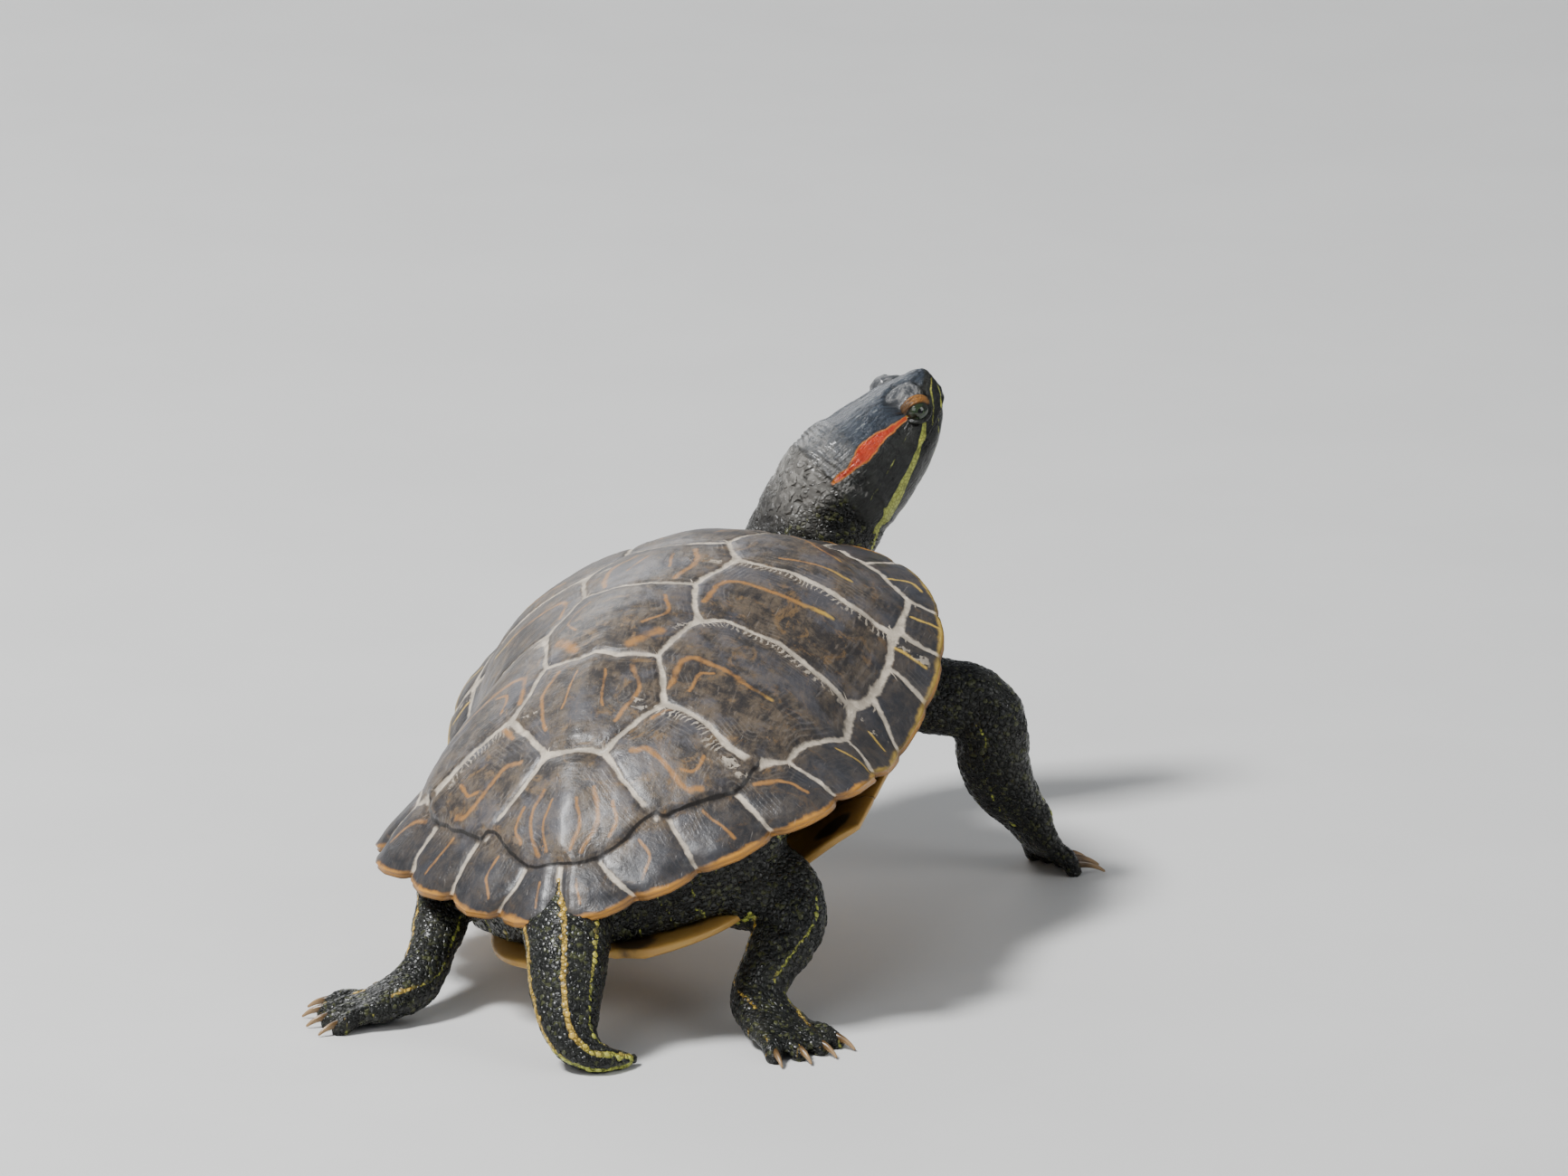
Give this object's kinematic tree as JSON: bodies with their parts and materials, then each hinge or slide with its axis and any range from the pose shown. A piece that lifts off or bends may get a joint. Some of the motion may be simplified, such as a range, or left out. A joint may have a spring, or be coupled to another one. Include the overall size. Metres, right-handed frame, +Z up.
{
  "type": "red-eared slider turtle",
  "caption": "Life-size still model of a basking red-eared slider, head raised and turned, standing on four feet with its tail laid on the floor.",
  "frame": {"origin": "the middle of the box's underside, on the floor between the four feet", "axes": "+Z up; the turtle faces -Y and its left side is +X; its head is turned to its right, towards -X"},
  "size_m": [0.177, 0.2412, 0.1187],
  "materials": {
    "carapace": "wet horn, dark olive brown with cream seams",
    "plastron": "ochre horn with dark blotches",
    "skin": "wet, nearly black scaly skin with thin yellow-green lines",
    "head": "smooth wet skin, blue-grey above, with a red stripe behind the eye",
    "eye": "wet, green iris with a dark bar",
    "claw": "dark amber horn"
  },
  "bodies": {
    "root": {"carapace": "carapace", "plastron": "plastron", "trunk": "skin", "head": "head", "jaw": "head", "eye_right": "eye", "eye_left": "eye", "neck": "skin", "tail": "skin", "upper_arm_right": "skin", "forearm_right": "skin", "hand_right": "skin", "claw_hand_right_1": "claw", "claw_hand_right_2": "claw", "claw_hand_right_3": "claw", "claw_hand_right_4": "claw", "claw_hand_right_5": "claw", "upper_arm_left": "skin", "forearm_left": "skin", "hand_left": "skin", "claw_hand_left_1": "claw", "claw_hand_left_2": "claw", "claw_hand_left_3": "claw", "claw_hand_left_4": "claw", "claw_hand_left_5": "claw", "thigh_right": "skin", "shin_right": "skin", "foot_right": "skin", "claw_foot_right_1": "claw", "claw_foot_right_2": "claw", "claw_foot_right_3": "claw", "claw_foot_right_4": "claw", "thigh_left": "skin", "shin_left": "skin", "foot_left": "skin", "claw_foot_left_1": "claw", "claw_foot_left_2": "claw", "claw_foot_left_3": "claw", "claw_foot_left_4": "claw"}
  },
  "joints": []
}
